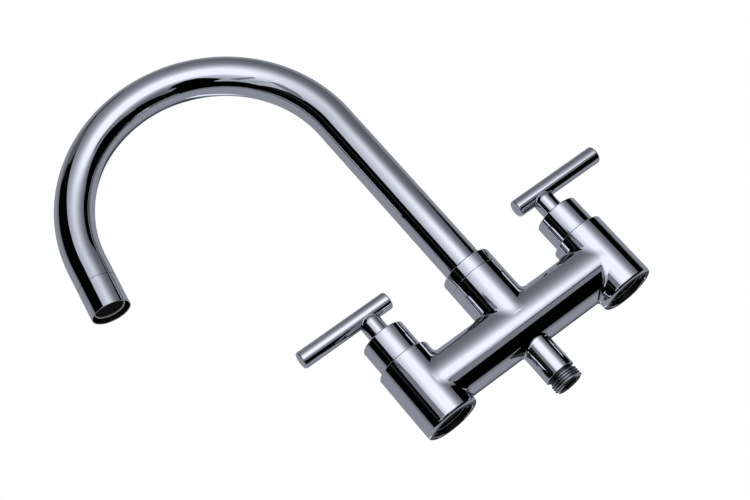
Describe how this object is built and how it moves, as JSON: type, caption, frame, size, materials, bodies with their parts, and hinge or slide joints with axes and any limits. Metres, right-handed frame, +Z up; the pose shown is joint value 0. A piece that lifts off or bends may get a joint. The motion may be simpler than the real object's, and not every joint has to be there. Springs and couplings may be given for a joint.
{
  "type": "bridge mixer faucet",
  "caption": "Chrome two-handle bridge mixer with lever bars, a swivelling gooseneck spout with an aerator, two threaded inlets and a threaded lower outlet.",
  "frame": {"origin": "midway between the axes of the two inlets, in the plane of the inlet faces", "axes": "+Z up the spout column, +X along the bridge towards the right-hand valve seen from the front, -Y to the front, towards the user"},
  "size_m": [0.3424, 0.0458, 0.3597],
  "materials": {
    "chrome": "mirror-polished plating",
    "brass": "machined",
    "rubber": "moulded, matte",
    "plastic": "moulded, satin",
    "ceramic": "lapped",
    "steel": "stainless, fine grain"
  },
  "bodies": {
    "body": {"mixer_body": "chrome", "outlet_nipple": "chrome", "nipple_seal": "rubber", "spout_nut": "chrome", "lower_slip_ring": "plastic", "upper_slip_ring": "plastic", "left_cartridge_body": "brass", "left_seat_seal": "rubber", "left_fixed_disc": "ceramic", "left_collar_o_ring": "rubber", "right_cartridge_body": "brass", "right_seat_seal": "rubber", "right_fixed_disc": "ceramic", "right_collar_o_ring": "rubber"},
    "spout": {"spout_tube": "chrome", "spout_spigot": "brass", "spout_o_rings": "rubber", "outlet_adapter": "brass", "aerator_sleeve": "chrome", "aerator_washer": "rubber", "aerator_insert": "plastic", "aerator_diffuser": "plastic", "aerator_filter": "steel", "aerator_screen": "steel"},
    "left_handle": {"left_moving_disc": "ceramic", "left_spindle": "brass", "left_spindle_o_rings": "rubber", "left_retaining_clip": "steel", "left_spline_bush": "plastic", "left_handle_hub": "chrome", "left_set_screw": "steel", "left_handle_post": "chrome", "left_handle_bar": "chrome"},
    "right_handle": {"right_moving_disc": "ceramic", "right_spindle": "brass", "right_spindle_o_rings": "rubber", "right_retaining_clip": "steel", "right_spline_bush": "plastic", "right_handle_hub": "chrome", "right_set_screw": "steel", "right_handle_post": "chrome", "right_handle_bar": "chrome"}
  },
  "joints": [
    {"name": "spout_swivel", "type": "hinge", "parent": "body", "child": "spout", "pos_m": [0, 0, 0.0683], "axis": [0, 0, 1], "continuous": true},
    {"name": "left_handle_turn", "type": "hinge", "parent": "body", "child": "left_handle", "pos_m": [-0.075, 0, 0.0514], "axis": [0, 0, 1], "range_deg": [0, 90]},
    {"name": "right_handle_turn", "type": "hinge", "parent": "body", "child": "right_handle", "pos_m": [0.075, 0, 0.0514], "axis": [0, 0, 1], "range_deg": [-90, 0]}
  ]
}
